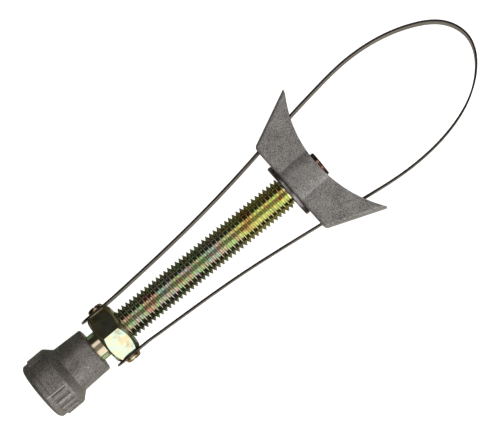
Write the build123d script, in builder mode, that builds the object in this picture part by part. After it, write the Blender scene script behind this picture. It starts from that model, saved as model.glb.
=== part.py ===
"""Oil filter wrench: a steel strap loop closed by an M12 spindle, a hexagon nut and a die-cast jaw.

The spindle's axis is X, from the knob's end face at the origin towards the strap loop.
Z is across the strap's width. All sizes are in millimetres and degrees.
"""

import os
from math import atan2, ceil, cos, degrees, hypot, radians, sin, sqrt, tan

from build123d import *

os.makedirs("parts", exist_ok=True)

# ---------------------------------------------------------------- driving dimensions

# Spindle: M12 coarse, rolled on a thinner rod
pitch = 1.75
thread_radius = 6.0
thread_depth = 1.2
thread_crest = 0.22           # width of the flat crest
thread_flank_angle = 30.0
thread_start = 29.35
thread_end = 112.5
thread_lead_in = 1.0
lead_in_step = 0.3            # how far below the rod's surface the lead-in starts
turns_per_block = 4           # the thread is made in equal blocks that join end to end
rod_radius = 5.25
journal_radius = 4.7
journal_end = 129.0
journal_chamfer = 0.35

# Spindle's shank inside the knob
shank_start = 5.5
spline_start = 8.5
spline_length = 11.0
spline_count = 16
spline_height = 0.4
spline_width = 1.1

# Knob
knob_length = 25.0
knob_face_radius = 9.1
knob_head_radius = 11.3
knob_rim_depth = 1.3
grip_start = 3.2
grip_end = 9.4
grip_radius = 11.95
grip_step = 0.25
shoulder_round_end = (10.9, 11.45)
shoulder_foot = (13.0, 9.5)
collar_start = (13.75, 9.15)
collar_end_radius = 8.75
collar_round = 0.7
groove_pitch = 13.7
grooves_per_side = 9
groove_radius = 0.6
groove_middle = 73.0          # turned from +Z towards -Y

# Nut
nut_start = 28.7
nut_height = 9.6
nut_flats = 19.0
nut_face_radius = 8.6
nut_chamfer_angle = 36.0
nut_mouth = 6.6
thread_gap = 0.26             # radial play of the nut's thread on the spindle's
thread_side_gap = 0.07        # and its play along the axis, on each side

# Strap
strap_width = 12.0
strap_thickness = 0.7
strap_ends = (27.0, 27.5)     # of the +Y branch and the -Y branch
strap_end_round = 5.6
branch_points = [(45.4, 10.1), (77.5, 12.2)]    # on each branch, between the nut and the jaw
loop_points = [               # the loop is bent by hand, so its two sides differ a little
    (145.45, 21.55),
    (156.2, 22.5),
    (173.9, 20.9),
    (185.4, 17.0),
    (195.3, 9.35),
    (197.65, 1.7),
    (188.95, -12.5),
    (175.0, -19.2),
    (157.2, -21.6),
    (146.3, -21.2),
]

# Jaw, in its own frame: u along its axis from its flat back, v across
jaw_lean = 2.0                # the jaw leans this far in the play of its bore
jaw_back = 114.7
jaw_half_thickness = 9.0
jaw_back_half_width = 18.7
jaw_tip = (21.3, 27.75)
jaw_depth = 12.8              # from the back to the middle of the concave front
front_radius = 48.5
boss_radius = 10.9
boss_blend = 2.2
bore_radius = 5.0
jaw_edge_round = 1.2
back_corner_round = 2.0
slot_in = 16.9
slot_out = 19.5
slot_play = 0.6
slot_height = 13.0
strap_shift = 0.2             # the strap leans less than the jaw, in the play of its slots

# Thrust collar and retaining pin
collar_thickness = 1.7
collar_radius = 10.7
collar_bore = 5.2
collar_edge_round = 0.6
pin_radius = 1.5
pin_offset = 5.35
pin_top = 6.0
pin_bottom = -9.0
pin_groove_radius = 3.7
pin_groove_width = 3.9

# Strap screws, M3 with a slotted pan head
screw_offset = 0.4            # the screws sit a little towards the jaw from the nut's middle
screw_radius = 1.5
screw_reach = 3.1
screw_head_radius = 3.0
screw_head_height = 1.65
screw_head_side = 0.35
screw_slot_width = 0.8
screw_slot_depth = 0.45
screw_slot_turn = 12.0        # from the strap's width towards its length

# ---------------------------------------------------------------- derived places

nut_end = nut_start + nut_height
nut_middle = nut_start + nut_height / 2
screw_place = nut_middle + screw_offset
strap_seat = nut_flats / 2 + strap_thickness / 2
bore_middle = jaw_back + jaw_depth / 2
slot_leave = jaw_depth + front_radius - sqrt(front_radius**2 - slot_out**2)

# The jaw's frame leans about the middle of its bore, which stays on the spindle's axis.
jaw_axis = Axis((bore_middle, 0, 0), (cos(radians(jaw_lean)), sin(radians(jaw_lean)), 0))
jaw_plane = Plane(
    origin=jaw_axis.position - jaw_axis.direction * jaw_depth / 2,
    x_dir=jaw_axis.direction,
    z_dir=(0, 0, 1),
)
jaw_cross = Plane(origin=jaw_plane.origin, x_dir=jaw_plane.y_dir, z_dir=jaw_plane.x_dir)


def in_jaw(u, v):
    """A point of the jaw's frame as a point of the whole model."""
    return jaw_plane.from_local_coords((u, v, 0))


def is_slanted(edge):
    """Whether an edge runs straight along one of the jaw's slanted ends, in its top or its underside."""
    slant = edge.tangent_at(0).get_angle(jaw_plane.x_dir)
    return edge.geom_type == GeomType.LINE and 15 < min(slant, 180 - slant) < 30


def saved(part, name):
    """Label a finished piece and write it as its own file."""
    part.label = name
    export_step(part, f"parts/{name}.step")


# ---------------------------------------------------------------- thread

block_length = turns_per_block * pitch


def thread_block(gap=0.0, side_gap=0.0):
    """A few turns of a right-hand thread along X: a rod with one helical groove cut in it."""
    radius = thread_radius + gap
    half_mouth = (pitch - thread_crest) / 2 - side_gap
    half_root = half_mouth - thread_depth * tan(radians(thread_flank_angle))
    with BuildPart() as block:
        with BuildSketch(Plane.YZ.offset(thread_start)):
            Circle(radius)
        extrude(amount=block_length)
        with BuildLine() as path:
            Helix(
                pitch,
                block_length + 2 * pitch,
                radius,
                center=(thread_start - pitch, 0, 0),
                direction=(1, 0, 0),
            )
        foot = path.line @ 0
        inward = -Vector(0, foot.Y, foot.Z).normalized()
        with BuildSketch(Plane(origin=foot, x_dir=inward, z_dir=path.line % 0)):
            with BuildLine():
                Polyline(
                    (-thread_depth / 4, -half_mouth),
                    (0, -half_mouth),
                    (thread_depth, -half_root),
                    (thread_depth, half_root),
                    (0, half_mouth),
                    (-thread_depth / 4, half_mouth),
                    close=True,
                )
            make_face()
        sweep(path=path.line, is_frenet=True, mode=Mode.SUBTRACT)
    return block.part


def thread_rod(blocks, first_turn=0, gap=0.0, side_gap=0.0):
    """Threaded rod that starts a whole number of turns from the spindle's thread, in step with it."""
    with BuildPart() as rod:
        with Locations(*[(first_turn * pitch + n * block_length, 0, 0) for n in range(blocks)]):
            add(thread_block(gap, side_gap))
    return rod.part


# ---------------------------------------------------------------- spindle

with BuildSketch(Plane.YZ.offset(spline_start)) as shank_splines:
    Circle(rod_radius)
    with PolarLocations(rod_radius, spline_count):
        Rectangle(2 * spline_height, spline_width)

with BuildPart() as spindle:
    add(thread_rod(ceil((thread_end - thread_start) / block_length)))
    with BuildSketch(Plane.XY):
        with BuildLine():
            Polyline(
                (thread_start, 0),
                (thread_start, rod_radius - lead_in_step),
                (thread_start + thread_lead_in, thread_radius),
                (thread_end, thread_radius),
                (thread_end, 0),
                close=True,
            )
        make_face()
    revolve(axis=Axis.X, mode=Mode.INTERSECT)
    with BuildSketch(Plane.YZ.offset(shank_start)):
        Circle(rod_radius)
    extrude(amount=thread_start - shank_start)
    extrude(shank_splines.sketch, amount=spline_length)
    with BuildSketch(Plane.XY):
        with BuildLine():
            Polyline(
                (thread_end, 0),
                (thread_end, journal_radius),
                (bore_middle - pin_groove_width / 2, journal_radius),
                (bore_middle - pin_groove_width / 2, pin_groove_radius),
                (bore_middle + pin_groove_width / 2, pin_groove_radius),
                (bore_middle + pin_groove_width / 2, journal_radius),
                (journal_end - journal_chamfer, journal_radius),
                (journal_end, journal_radius - journal_chamfer),
                (journal_end, 0),
                close=True,
            )
        make_face()
    revolve(axis=Axis.X)
saved(spindle.part, "spindle")

# ---------------------------------------------------------------- knob

with BuildPart() as knob:
    with BuildSketch(Plane.XY):
        with BuildLine():
            Line((0, 0), (0, knob_face_radius))
            TangentArc((0, knob_face_radius), (knob_rim_depth, knob_head_radius), tangent=(0, 1))
            Polyline(
                (knob_rim_depth, knob_head_radius),
                (grip_start, knob_head_radius),
                (grip_start + grip_step, grip_radius),
                (grip_end, grip_radius),
            )
            RadiusArc((grip_end, grip_radius), shoulder_round_end, 1.8)
            Line(shoulder_round_end, shoulder_foot)
            RadiusArc(shoulder_foot, collar_start, -1.0)
            Line(collar_start, (knob_length - collar_round, collar_end_radius))
            RadiusArc(
                (knob_length - collar_round, collar_end_radius),
                (knob_length, collar_end_radius - collar_round),
                collar_round,
            )
            Line((knob_length, collar_end_radius - collar_round), (knob_length, 0))
            Line((knob_length, 0), (0, 0))
        make_face()
    revolve(axis=Axis.X)
    # Two groups of grooves leave ribs between them, and two smooth panels between the groups.
    side_span = groove_pitch * (grooves_per_side - 1)
    for side in (0, 180):
        first = 90 + groove_middle + side - side_span / 2
        with BuildSketch(Plane.YZ.offset(grip_start)):
            with PolarLocations(grip_radius + 0.1, grooves_per_side, first, side_span, endpoint=True):
                Circle(groove_radius)
        extrude(amount=grip_end - grip_start, mode=Mode.SUBTRACT)
    with BuildSketch(Plane.YZ.offset(shank_start)):
        Circle(rod_radius)
    extrude(amount=knob_length - shank_start, mode=Mode.SUBTRACT)
    extrude(shank_splines.sketch, amount=spline_length, mode=Mode.SUBTRACT)
saved(knob.part, "knob")

# ---------------------------------------------------------------- nut

with BuildPart() as nut:
    with BuildSketch(Plane.YZ.offset(nut_start)):
        RegularPolygon(nut_flats / 2, 6, major_radius=False, rotation=30)
    extrude(amount=nut_height)
    with BuildSketch(Plane.XY):
        run = nut_height / 2
        rise = run / sin(radians(nut_chamfer_angle)) * cos(radians(nut_chamfer_angle))
        with BuildLine():
            Polyline(
                (nut_start, 0),
                (nut_start, nut_face_radius),
                (nut_middle, nut_face_radius + rise),
                (nut_end, nut_face_radius),
                (nut_end, 0),
                close=True,
            )
        make_face()
    revolve(axis=Axis.X, mode=Mode.INTERSECT)
    add(thread_rod(2, -2, thread_gap, thread_side_gap), mode=Mode.SUBTRACT)
    with BuildSketch(Plane.XY):
        for face, inward in ((nut_start, 1), (nut_end, -1)):
            with BuildLine():
                Polyline((face, 0), (face, nut_mouth), (face + inward * nut_mouth, 0), close=True)
            make_face()
    revolve(axis=Axis.X, mode=Mode.SUBTRACT)
    with BuildSketch(Plane.XZ):
        with Locations((screw_place, 0)):
            Circle(screw_radius)
    extrude(amount=nut_flats, both=True, mode=Mode.SUBTRACT)
saved(nut.part, "nut")

# ---------------------------------------------------------------- strap

strap_line = Spline(
    (nut_end, strap_seat),
    *branch_points,
    in_jaw(0, slot_in + strap_shift),
    in_jaw(slot_leave, slot_out - strap_shift),
    *loop_points,
    in_jaw(slot_leave, -slot_out - strap_shift),
    in_jaw(0, -slot_in + strap_shift),
    *[(x, -y) for x, y in reversed(branch_points)],
    (nut_end, -strap_seat),
    tangents=((1, 0), (-1, 0)),
)


def strap_wall(side, steps=60):
    """Points along one face of the strap, half its thickness from its middle line."""
    points = []
    for n in range(steps + 1):
        along = strap_line % (n / steps)
        across = Vector(-along.Y, along.X, 0)
        points.append(strap_line @ (n / steps) + across * (side * strap_thickness / 2))
    return points


with BuildPart() as strap:
    with BuildSketch(Plane.XY):
        with BuildLine():
            for side in (1, -1):
                wall = strap_wall(side)
                Line((strap_ends[0], wall[0].Y), wall[0])
                Spline(*wall, tangents=((1, 0), (-1, 0)))
                Line(wall[-1], (strap_ends[1], wall[-1].Y))
            for side, start in zip((1, -1), strap_ends):
                middle = side * strap_seat
                half = strap_thickness / 2
                Line((start, middle - half), (start, middle + half))
        make_face()
    extrude(amount=strap_width / 2, both=True)
    end_corners = strap.edges().filter_by(Axis.Y).sort_by(Axis.X)[:4]
    fillet(end_corners, radius=strap_end_round)
    with BuildSketch(Plane.XZ):
        with Locations((screw_place, 0)):
            Circle(screw_radius)
    extrude(amount=nut_flats, both=True, mode=Mode.SUBTRACT)
saved(strap.part, "strap")

# ---------------------------------------------------------------- jaw

with BuildPart() as jaw:
    with BuildSketch(jaw_plane):
        with BuildLine():
            Polyline(
                (0, -jaw_back_half_width),
                (0, jaw_back_half_width),
                jaw_tip,
                (jaw_tip[0], -jaw_tip[1]),
                close=True,
            )
        make_face()
    extrude(amount=jaw_half_thickness, both=True)
    back_corners = jaw.edges().filter_by(Axis.Z).group_by(jaw_axis)[0]
    fillet(back_corners, radius=back_corner_round)
    with BuildSketch(jaw_cross):
        Circle(boss_radius)
    extrude(amount=jaw_tip[0])
    fillet(jaw.edges().filter_by(jaw_axis), radius=boss_blend)
    back_loop = jaw.faces().filter_by(jaw_axis).sort_by(jaw_axis)[0].edges()
    slanted = jaw.edges().filter_by(is_slanted)
    fillet(back_loop + slanted, radius=jaw_edge_round)
    with BuildSketch(jaw_plane):
        with Locations((jaw_depth + front_radius, 0)):
            Circle(front_radius)
    extrude(amount=2 * boss_radius, both=True, mode=Mode.SUBTRACT)
    with BuildSketch(jaw_cross):
        Circle(bore_radius)
    extrude(amount=jaw_tip[0], mode=Mode.SUBTRACT)
    with BuildSketch(jaw_plane):
        slot_run = hypot(slot_leave, slot_out - slot_in)
        slot_turn = degrees(atan2(slot_out - slot_in, slot_leave))
        for side in (1, -1):
            with Locations(Location((slot_leave / 2, side * (slot_in + slot_out) / 2), side * slot_turn)):
                Rectangle(2 * slot_run, strap_thickness + 2 * slot_play)
    extrude(amount=slot_height / 2, both=True, mode=Mode.SUBTRACT)
    with BuildSketch(jaw_plane.offset(pin_top)):
        with Locations((jaw_depth / 2, -pin_offset)):
            Circle(pin_radius)
    extrude(amount=-2 * boss_radius, mode=Mode.SUBTRACT)
saved(jaw.part, "jaw")

# ---------------------------------------------------------------- thrust collar and pin

with BuildPart() as thrust_collar:
    with BuildSketch(jaw_cross):
        Circle(collar_radius)
        Circle(collar_bore, mode=Mode.SUBTRACT)
    extrude(amount=-collar_thickness)
    rims = thrust_collar.edges().filter_by(GeomType.CIRCLE).group_by(SortBy.RADIUS)[-1]
    fillet(rims, radius=collar_edge_round)
saved(thrust_collar.part, "thrust_collar")

with BuildPart() as retaining_pin:
    with BuildSketch(jaw_plane.offset(pin_bottom)):
        with Locations((jaw_depth / 2, -pin_offset)):
            Circle(pin_radius)
    extrude(amount=pin_top - pin_bottom)
    chamfer(retaining_pin.edges().group_by(Axis.Z)[0], length=0.3)
saved(retaining_pin.part, "retaining_pin")

# ---------------------------------------------------------------- strap screws

slot_along = Vector(0, 0, 1).rotate(Axis.Y, screw_slot_turn)
slot_across = Vector(1, 0, 0).rotate(Axis.Y, screw_slot_turn)

for name, side in (("strap_screw_left", 1), ("strap_screw_right", -1)):
    seat = side * (nut_flats / 2 + strap_thickness)
    tip = seat - side * screw_reach - side * strap_thickness
    shoulder = seat + side * screw_head_side
    crown = seat + side * screw_head_height
    with BuildPart() as screw:
        with BuildSketch(Plane.XY):
            with BuildLine():
                Polyline(
                    (screw_place, tip),
                    (screw_place + screw_radius, tip),
                    (screw_place + screw_radius, seat),
                    (screw_place + screw_head_radius, seat),
                    (screw_place + screw_head_radius, shoulder),
                )
                Spline(
                    (screw_place + screw_head_radius, shoulder),
                    (screw_place, crown),
                    tangents=((0, side), (-1, 0)),
                )
                Line((screw_place, crown), (screw_place, tip))
            make_face()
        revolve(axis=Axis((screw_place, 0, 0), (0, 1, 0)))
        with BuildSketch(Plane((screw_place, crown, 0), x_dir=slot_across, z_dir=slot_along)):
            Rectangle(screw_slot_width, 2 * screw_slot_depth)
        extrude(amount=screw_head_radius, both=True, mode=Mode.SUBTRACT)
    saved(screw.part, name)
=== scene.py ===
"""Oil filter wrench: materials, strap pieces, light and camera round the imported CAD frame.

X runs along the spindle from the knob to the strap's loop, Z is up and across the strap.
Metres throughout.
"""

from math import cos, pi, radians, sin

import bmesh
import bpy
from mathutils import Matrix, Vector


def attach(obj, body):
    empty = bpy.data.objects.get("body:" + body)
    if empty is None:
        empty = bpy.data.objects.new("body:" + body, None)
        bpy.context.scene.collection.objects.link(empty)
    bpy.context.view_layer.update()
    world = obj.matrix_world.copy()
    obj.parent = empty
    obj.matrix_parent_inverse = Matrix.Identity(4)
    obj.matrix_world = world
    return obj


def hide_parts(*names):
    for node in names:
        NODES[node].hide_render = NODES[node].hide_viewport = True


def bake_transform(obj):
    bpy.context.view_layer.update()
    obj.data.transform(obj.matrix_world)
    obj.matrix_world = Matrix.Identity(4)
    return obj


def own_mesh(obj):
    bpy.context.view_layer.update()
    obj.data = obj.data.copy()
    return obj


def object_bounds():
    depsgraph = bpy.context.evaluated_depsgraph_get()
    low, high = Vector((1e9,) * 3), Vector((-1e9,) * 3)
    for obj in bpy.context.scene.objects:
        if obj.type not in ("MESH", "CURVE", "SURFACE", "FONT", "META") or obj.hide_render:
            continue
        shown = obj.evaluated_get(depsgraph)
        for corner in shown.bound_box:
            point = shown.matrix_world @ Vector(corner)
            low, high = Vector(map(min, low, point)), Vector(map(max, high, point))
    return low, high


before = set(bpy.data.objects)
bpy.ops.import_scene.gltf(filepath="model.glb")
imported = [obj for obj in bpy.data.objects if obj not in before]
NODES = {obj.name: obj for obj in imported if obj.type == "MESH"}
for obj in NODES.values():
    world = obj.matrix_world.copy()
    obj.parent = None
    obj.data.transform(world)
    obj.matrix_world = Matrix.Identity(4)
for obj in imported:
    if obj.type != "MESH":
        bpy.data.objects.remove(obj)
CAD_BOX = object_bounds()

MM = 0.001
SEAM = radians(18.0)           # the knob's parting line, where a highlight is painted, turned from +Z towards -Y
HEAD_END = 0.0109
GRIP_START = 0.0032
GRIP_END = 0.0094
GROOVE_MIDDLE = radians(73.0)
GROOVE_PITCH = radians(13.7)
THREAD_RADIUS = 0.006
NECK_END = (0.0285, 0.0295)            # along X, where the neck's painted reflection and roughness fade into the thread's look
NECK_REFLECTION_SIDES = (2.6 * MM, 4.6 * MM)        # across, where the neck's painted reflection fades from pale in the middle to green
GOLD_FADE = (0.060, 0.110)             # along X, from the rainbow film to olive gold
CREST_HIGHLIGHT_FADE = (0.060, 0.100)             # along X, from strong painted highlights on the crests to weaker ones
TIP_SHADE_FADE = (0.120, 0.126)            # along X, from olive gold to the tip's dark brown painted shade

# ---------------------------------------------------------------- shader helpers


class Look:
    """A material with one Principled shader, and short ways to build its node tree."""

    def __init__(self, name, metallic, roughness):
        self.material = bpy.data.materials.new(name)
        self.material.use_nodes = True
        self.tree = self.material.node_tree
        self.shader = self.tree.nodes["Principled BSDF"]
        self.shader.inputs["Metallic"].default_value = metallic
        self.shader.inputs["Roughness"].default_value = roughness
        self.place = self.node("ShaderNodeTexCoord").outputs["Object"]

    def node(self, kind, settings=(), **inputs):
        made = self.tree.nodes.new(kind)
        for key, value in dict(settings).items():
            setattr(made, key, value)
        for key, value in inputs.items():
            self.feed(made.inputs[key.replace("_", " ")], value)
        return made

    def feed(self, socket, value):
        if isinstance(value, bpy.types.NodeSocket):
            self.tree.links.new(value, socket)
        else:
            socket.default_value = value

    def scaled(self, scale):
        """The piece's own coordinates, stretched along each axis."""
        mapping = self.node("ShaderNodeMapping", Vector=self.place, Scale=scale)
        return mapping.outputs["Vector"]

    def noise(self, scale, detail=3.0, roughness=0.55, stretch=(1, 1, 1), distortion=0.0):
        made = self.node(
            "ShaderNodeTexNoise",
            Vector=self.scaled(stretch),
            Scale=scale,
            Detail=detail,
            Roughness=roughness,
            Distortion=distortion,
        )
        return made.outputs["Fac"]

    def maths(self, operation, a, b=0.0):
        made = self.node("ShaderNodeMath", {"operation": operation})
        for socket, value in zip(made.inputs, (a, b)):
            self.feed(socket, value)
        return made.outputs["Value"]

    def spread(self, value, low, high, to_low=0.0, to_high=1.0):
        """A value rescaled from low..high to to_low..to_high, and held there."""
        made = self.node("ShaderNodeMapRange", {"interpolation_type": "SMOOTHSTEP"})
        for socket, number in zip(made.inputs, (value, low, high, to_low, to_high)):
            self.feed(socket, number)
        return made.outputs["Result"]

    def ramp(self, value, stops):
        """A colour ramp from (place, colour) pairs."""
        made = self.node("ShaderNodeValToRGB", Fac=value)
        band = made.color_ramp
        while len(band.elements) < len(stops):
            band.elements.new(0.5)
        for element, (place, colour) in zip(band.elements, stops):
            element.position = place
            element.color = (*colour, 1.0)
        return made.outputs["Color"]

    def mix(self, share, a, b):
        made = self.node("ShaderNodeMix", {"data_type": "RGBA"})
        sockets = [s for s in made.inputs if s.enabled and s.name in ("Factor", "A", "B")]
        for socket, value in zip(sockets, (share, a, b)):
            if isinstance(value, tuple):
                value = (*value, 1.0)
            self.feed(socket, value)
        return [s for s in made.outputs if s.enabled][0]

    def bump(self, height, depth):
        made = self.node("ShaderNodeBump", Height=height, Distance=depth)
        return made.outputs["Normal"]

    def axes(self):
        parts = self.node("ShaderNodeSeparateXYZ", Vector=self.place).outputs
        return parts["X"], parts["Y"], parts["Z"]

    def facing(self):
        """The surface's own direction, as X, Y and Z shares."""
        made = self.node("ShaderNodeNewGeometry").outputs["Normal"]
        parts = self.node("ShaderNodeSeparateXYZ", Vector=made).outputs
        return parts["X"], parts["Y"], parts["Z"]

    def line(self, value, middle, width):
        """1 on a thin line where the value is at its middle, 0 away from it."""
        away = self.maths("ABSOLUTE", self.maths("SUBTRACT", value, middle))
        return self.spread(away, width / 2, width, 1.0, 0.0)

    def surface(self, **inputs):
        for key, value in inputs.items():
            if isinstance(value, tuple):
                value = (*value, 1.0)
            self.feed(self.shader.inputs[key.replace("_", " ")], value)


def put(look, *objects):
    for thing in objects:
        thing.data.materials.clear()
        thing.data.materials.append(look.material)


# ---------------------------------------------------------------- materials


def die_cast(name, dark, light, metallic):
    """Satin die-cast metal: fine grains, soft cloudy patches and a few bright and dark pits."""
    look = Look(name, metallic, 0.5)
    grain = look.noise(3300, 1.0, 0.7)
    cloud = look.noise(160, 4.0, 0.65)
    speck = look.noise(1300, 0.0, 0.5)
    tone = look.maths("ADD", look.maths("MULTIPLY", grain, 0.75), look.maths("MULTIPLY", cloud, 0.25))
    colour = look.mix(look.spread(tone, 0.37, 0.63), dark, light)
    colour = look.mix(look.spread(speck, 0.80, 0.86, 0.0, 0.7), colour, (0.75, 0.72, 0.68))
    colour = look.mix(look.spread(speck, 0.19, 0.14, 0.0, 0.8), colour, (0.05, 0.05, 0.05))
    look.surface(
        Base_Color=colour,
        Roughness=look.spread(grain, 0.3, 0.7, 0.42, 0.56),
        Normal=look.bump(grain, 0.03 * MM),
    )
    return look, colour


def knob_look():
    """The knob's casting, with a painted highlight along the mould's parting line on its head,
    painted highlights on the ribs and painted shade in the grooves.
    """
    look, colour = die_cast("die_cast_knob", (0.13, 0.119, 0.112), (0.5, 0.465, 0.436), 0.55)
    along, across, up = look.axes()
    # A pale tint for the painted highlights on the ribs and along the parting line.
    pale = (0.8, 0.76, 0.72)

    turn = look.maths("ARCTAN2", look.maths("MULTIPLY", across, -1.0), up)
    half_turn = look.maths("FLOORED_MODULO", turn, pi)
    count = look.maths("DIVIDE", look.maths("SUBTRACT", half_turn, GROOVE_MIDDLE), GROOVE_PITCH)
    off_middle = look.maths("ABSOLUTE", look.maths("SUBTRACT", count, 0.5))
    in_group = look.spread(off_middle, 3.8, 4.0, 1.0, 0.0)
    from_edge = look.maths("ABSOLUTE", look.maths("SUBTRACT", along, (GRIP_START + GRIP_END) / 2))
    in_ring = look.spread(from_edge, 2.7 * MM, 3.0 * MM, 1.0, 0.0)
    in_grip = look.maths("MULTIPLY", in_ring, in_group)
    wave = look.maths("COSINE", look.maths("MULTIPLY", count, 2 * pi))
    # Painted highlights on the ribs and painted shade in the grooves between them.
    rib_highlight = look.maths("MULTIPLY", look.spread(wave, -0.5, -1.0), in_grip)
    groove_shade = look.maths("MULTIPLY", look.spread(wave, 0.6, 1.0), in_grip)
    colour = look.mix(look.maths("MULTIPLY", rib_highlight, 0.4), colour, pale)
    colour = look.mix(look.maths("MULTIPLY", groove_shade, 0.22), colour, (0.04, 0.035, 0.03))

    # A painted highlight along the parting line's ridge on the head.
    seam = look.maths(
        "ADD",
        look.maths("MULTIPLY", across, cos(SEAM)),
        look.maths("MULTIPLY", up, sin(SEAM)),
    )
    past_rim = look.spread(along, 1.2 * MM, 2.0 * MM)
    on_head = look.maths("MULTIPLY", past_rim, look.spread(along, GRIP_END, HEAD_END, 1.0, 0.0))
    share = look.maths("MULTIPLY", look.line(seam, 0.0, 0.3 * MM), on_head)
    colour = look.mix(look.maths("MULTIPLY", share, 0.6), colour, pale)
    look.surface(Base_Color=colour)
    return look


def jaw_look():
    look, _ = die_cast("die_cast_jaw", (0.17, 0.163, 0.157), (0.64, 0.615, 0.6), 0.35)
    return look


RAINBOW = [
    (0.34, (0.84, 0.6, 0.52)),
    (0.42, (0.8, 0.76, 0.55)),
    (0.47, (0.6, 0.86, 0.56)),
    (0.51, (0.74, 0.8, 0.6)),
    (0.55, (0.9, 0.68, 0.7)),
    (0.60, (0.62, 0.82, 0.74)),
    (0.67, (0.82, 0.76, 0.54)),
]
PALE_GOLD = [
    (0.38, (0.76, 0.66, 0.4)),
    (0.46, (0.78, 0.78, 0.55)),
    (0.52, (0.66, 0.82, 0.66)),
    (0.58, (0.74, 0.8, 0.56)),
    (0.64, (0.8, 0.72, 0.46)),
]
OLIVE_GOLD = [
    (0.36, (0.8, 0.62, 0.32)),
    (0.44, (0.98, 0.9, 0.46)),
    (0.50, (0.78, 0.92, 0.46)),
    (0.56, (1.0, 0.92, 0.48)),
    (0.64, (0.82, 0.56, 0.3)),
]
BRASS_RED = [
    (0.38, (0.26, 0.1, 0.07)),
    (0.45, (0.64, 0.5, 0.26)),
    (0.51, (0.82, 0.76, 0.48)),
    (0.57, (0.66, 0.4, 0.34)),
    (0.64, (0.24, 0.22, 0.1)),
]


def zinc_colour(look, stops, scale):
    """Yellow zinc plating: tints that follow the film's depth, with darker stains."""
    film = look.noise(scale, 3.0, 0.55, distortion=0.6)
    stain = look.noise(scale * 3, 4.0, 0.6)
    stained = look.spread(stain, 0.52, 0.78, 0.0, 0.55)
    return look.mix(stained, look.ramp(film, stops), (0.22, 0.15, 0.07))


def zinc_surface(look, colour, scale, gloss):
    """Glossy plating with fine drawn scratches, darker towards grazing angles."""
    patch = look.noise(scale * 2, 3.0)
    scratch = look.noise(1800, 3.0, 0.6, (0.15, 1, 1))
    look.surface(
        Base_Color=colour,
        Specular_Tint=(0.3, 0.32, 0.25),
        Roughness=look.spread(patch, 0.3, 0.7, gloss, gloss + 0.12),
        Normal=look.bump(scratch, 0.006 * MM),
    )


def yellow_zinc(name, stops, scale, gloss):
    look = Look(name, 1.0, gloss)
    zinc_surface(look, zinc_colour(look, stops, scale), scale, gloss)
    return look


def spindle_look():
    """Yellow zinc that runs from green and pink by the knob to olive gold by the jaw.

    The neck has a painted reflection, pale with green sides, the thread's crests have a pale painted
    highlight and the tip has dark brown painted shade.
    """
    look = Look("yellow_zinc_spindle", 1.0, 0.16)
    along, across, up = look.axes()
    wave = look.maths("ADD", along, look.spread(look.noise(90), 0.3, 0.7, -0.012, 0.012))
    colour = look.mix(
        look.spread(wave, *GOLD_FADE),
        zinc_colour(look, RAINBOW, 150),
        zinc_colour(look, OLIVE_GOLD, 150),
    )
    # Painted reflection on the neck: pale in the middle and green at the sides, by the direction
    # across the spindle.
    reflection_side = look.spread(look.maths("ABSOLUTE", across), *NECK_REFLECTION_SIDES)
    neck = look.mix(reflection_side, (0.7, 0.57, 0.4), (0.66, 0.88, 0.54))
    colour = look.mix(look.spread(along, *NECK_END, 0.8, 0.0), colour, neck)
    # Painted shade on the tip, dark brown.
    colour = look.mix(look.spread(along, *TIP_SHADE_FADE), colour, (0.26, 0.15, 0.12))
    zinc_surface(look, colour, 70, 0.14)
    squares = look.maths("ADD", look.maths("POWER", across, 2.0), look.maths("POWER", up, 2.0))
    radius = look.maths("SQRT", squares)
    crest = look.spread(radius, THREAD_RADIUS - 0.15 * MM, THREAD_RADIUS - 0.05 * MM)
    plain = look.spread(along, *NECK_END, 0.2, 0.0)
    # Painted highlights on the thread's crests, stronger towards the knob.
    crest_highlight = look.maths("MULTIPLY", crest, look.spread(along, *CREST_HIGHLIGHT_FADE, 0.5, 0.3))
    look.surface(
        Base_Color=look.mix(crest_highlight, colour, (0.7, 0.62, 0.54)),
        Roughness=look.maths("MAXIMUM", look.spread(crest, 0.0, 1.0, 0.16, 0.36), plain),
    )
    return look


def strap_look():
    """Rolled spring steel: long fine rolling lines, a brown cast and dull patches, dark cut edges."""
    look = Look("strap_steel", 0.85, 0.36)
    rolled = look.noise(2600, 2.0, 0.6, (0.03, 0.03, 1))
    patch = look.noise(90, 4.0, 0.6)
    colour = look.mix(look.spread(rolled, 0.3, 0.7), (0.34, 0.32, 0.31), (0.46, 0.43, 0.42))
    colour = look.mix(look.spread(patch, 0.45, 0.7, 0.0, 0.5), colour, (0.3, 0.26, 0.24))
    _, _, up = look.facing()
    cut = look.spread(look.maths("ABSOLUTE", up), 0.6, 0.8)
    colour = look.mix(cut, colour, (0.05, 0.042, 0.04))
    look.surface(
        Base_Color=colour,
        Specular_Tint=(0.5, 0.48, 0.46),
        Roughness=look.spread(patch, 0.35, 0.7, 0.3, 0.46),
        Normal=look.bump(rolled, 0.01 * MM),
    )
    return look


def dark_steel_look():
    """Blackened steel with a purple cast and lathe marks."""
    look = Look("dark_steel", 0.95, 0.34)
    mottle = look.noise(400, 4.0, 0.6)
    turned = look.noise(2500, 2.0, 0.5, (1, 0.08, 0.08))
    colour = look.mix(look.spread(mottle, 0.35, 0.7), (0.22, 0.2, 0.205), (0.5, 0.46, 0.47))
    look.surface(
        Base_Color=colour,
        Roughness=look.spread(mottle, 0.3, 0.7, 0.28, 0.42),
        Normal=look.bump(turned, 0.01 * MM),
    )
    return look


# ---------------------------------------------------------------- strap pieces

NUT_SIDE_X = 0.0404            # just past the nut's face
LEAN = radians(2.0)            # the jaw's lean about the spindle's end
JAW_BACK = Vector((0.1151, 0, 0))      # just inside the mouths of the jaw's slots
JAW_AXIS = Vector((cos(LEAN), sin(LEAN), 0))
NUT_SIDE = Vector((NUT_SIDE_X, 0, 0))
ALONG = Vector((1, 0, 0))


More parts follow.
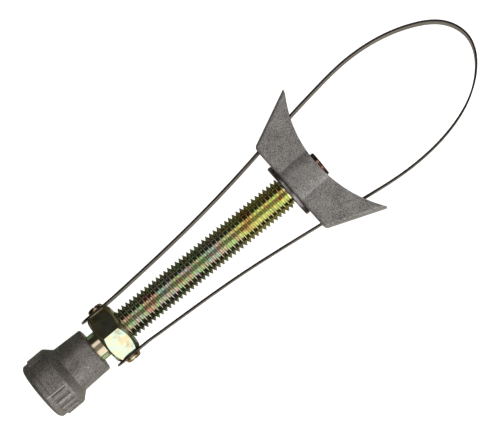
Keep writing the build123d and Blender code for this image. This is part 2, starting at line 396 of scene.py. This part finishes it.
def strap_piece(name, cuts, side=0):
    """A part of the strap's own mesh, on the near side of each cut, closed where it is cut."""
    mesh = bmesh.new()
    mesh.from_mesh(NODES["strap"].data)
    bmesh.ops.remove_doubles(mesh, verts=mesh.verts, dist=1e-7)
    for place, outwards in cuts:
        cut = bmesh.ops.bisect_plane(
            mesh,
            geom=mesh.verts[:] + mesh.edges[:] + mesh.faces[:],
            plane_co=place,
            plane_no=outwards,
            clear_outer=True,
        )
        rims = [e for e in cut["geom_cut"] if isinstance(e, bmesh.types.BMEdge)]
        bmesh.ops.holes_fill(mesh, edges=rims)
    if side:
        others = [v for v in mesh.verts if v.co.y * side < 0]
        bmesh.ops.delete(mesh, geom=others, context="VERTS")
    data = bpy.data.meshes.new(name)
    mesh.to_mesh(data)
    mesh.free()
    data.shade_smooth()
    piece = bpy.data.objects.new(name, data)
    bpy.context.scene.collection.objects.link(piece)
    data.set_sharp_from_angle(angle=radians(40))
    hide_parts("strap")
    return piece


def build_strap(look):
    """Ends that stay on the nut, branches that go with the jaw, and the loop."""
    for word, side in (("left", 1), ("right", -1)):
        end = strap_piece(f"strap_end_{word}", [(NUT_SIDE, ALONG)], side)
        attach(end, "nut")
        branch = strap_piece(
            f"strap_branch_{word}", [(NUT_SIDE, -ALONG), (JAW_BACK, JAW_AXIS)], side
        )
        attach(branch, "jaw")
        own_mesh(branch)
        put(look, end, branch)
    loop = strap_piece("strap_loop", [(JAW_BACK, -JAW_AXIS)])
    put(look, loop)
    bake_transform(loop)


# ---------------------------------------------------------------- stage, light and camera

CAMERA_AT = Vector((0.10868, -0.06437, 1.1678))
CAMERA_LOOKS_AT = Vector((0.09707, 0.00094, 0.0))
CAMERA_ROLL = -39.444
CAMERA_LENS = 237.18
TOOL_CENTRE = Vector((0.1, 0.0, 0.0))
GLOW_DEPTH = -0.2
GLOW_SIZE = (3.0, 4.0, 1.0)
GLOW_FADE = (0.03, 0.1)                # along Y, from the card's bright part to its dim one
GLOW_BRIGHT = (0.6, 0.57, 0.48)
GLOW_DIM = (0.16, 0.18, 0.145)


def build_floor():
    """A plain pale floor that lights neither the sides of the pieces nor their reflections."""
    bpy.ops.mesh.primitive_plane_add(size=6.0, location=(0.1, 0, CAD_BOX[0].z - 0.0002))
    floor = bpy.context.object
    floor.name = "floor"
    look = Look("pale_floor", 0.0, 0.9)
    look.surface(
        Base_Color=look.mix(look.noise(3, 2.0), (0.93, 0.93, 0.93), (0.97, 0.97, 0.97)),
        Emission_Color=(1.0, 1.0, 1.0),
        Emission_Strength=1.0,
    )
    put(look, floor)
    floor.visible_glossy = False
    floor.visible_diffuse = False


def build_glow():
    """A card far under the floor that only reflections see, dim and faintly green on its +Y side."""
    bpy.ops.mesh.primitive_plane_add(size=1.0, location=(0.1, 0, GLOW_DEPTH))
    card = bpy.context.object
    card.name = "glow_card"
    card.scale = GLOW_SIZE
    look = Look("glow", 0.0, 1.0)
    _, across, _ = look.axes()
    share = look.spread(look.maths("MULTIPLY", across, GLOW_SIZE[1]), *GLOW_FADE)
    look.surface(
        Base_Color=(0.0, 0.0, 0.0),
        Emission_Color=look.mix(share, GLOW_BRIGHT, GLOW_DIM),
        Emission_Strength=1.0,
    )
    put(look, card)
    card.visible_camera = False
    card.visible_diffuse = False
    card.visible_shadow = False


def build_light(name, place, size, radiance, colour=(1, 1, 1)):
    """A rectangular lamp that faces the tool; its power follows from how bright its face is."""
    data = bpy.data.lights.new(name, "AREA")
    data.shape = "RECTANGLE"
    data.size, data.size_y = size
    data.energy = radiance * pi * size[0] * size[1]
    data.color = colour
    lamp = bpy.data.objects.new(name, data)
    lamp.location = place
    lamp.rotation_euler = (TOOL_CENTRE - Vector(place)).to_track_quat("-Z", "Y").to_euler()
    bpy.context.scene.collection.objects.link(lamp)


def build_world():
    world = bpy.data.worlds.new("studio")
    world.use_nodes = True
    world.node_tree.nodes["Background"].inputs["Color"].default_value = (0.03, 0.027, 0.024, 1)
    bpy.context.scene.world = world


def build_camera():
    data = bpy.data.cameras.new("camera")
    data.lens = CAMERA_LENS
    data.sensor_width = 36.0
    data.clip_start, data.clip_end = 0.05, 20.0
    camera = bpy.data.objects.new("camera", data)
    forward = (CAMERA_LOOKS_AT - CAMERA_AT).normalized()
    right = forward.cross(Vector((0, 1, 0))).normalized()
    up = right.cross(forward)
    level = Matrix((right, up, -forward)).transposed().to_4x4()
    camera.matrix_world = (
        Matrix.Translation(CAMERA_AT) @ level @ Matrix.Rotation(radians(CAMERA_ROLL), 4, "Z")
    )
    bpy.context.scene.collection.objects.link(camera)
    bpy.context.scene.camera = camera


def main():
    put(knob_look(), NODES["knob"])
    put(jaw_look(), NODES["jaw"])
    put(spindle_look(), NODES["spindle"])
    put(yellow_zinc("yellow_zinc_nut", PALE_GOLD, 110, 0.14), NODES["nut"])
    put(
        yellow_zinc("yellow_zinc_screw", BRASS_RED, 260, 0.25),
        NODES["strap_screw_left"],
        NODES["strap_screw_right"],
    )
    put(dark_steel_look(), NODES["thrust_collar"], NODES["retaining_pin"])
    build_strap(strap_look())
    build_floor()
    build_glow()
    build_world()
    build_light("key_above", (0.1, 0.36, 0.85), (0.8, 0.42), 1.1)
    build_light("key_side", (0.1, -0.75, 0.5), (1.7, 0.95), 1.28)
    build_light("ceiling", (0.1, -0.26, 1.3), (2.6, 0.8), 0.25, (1.0, 0.9, 0.75))
    build_camera()
    bpy.context.scene.view_settings.view_transform = "Standard"


main()
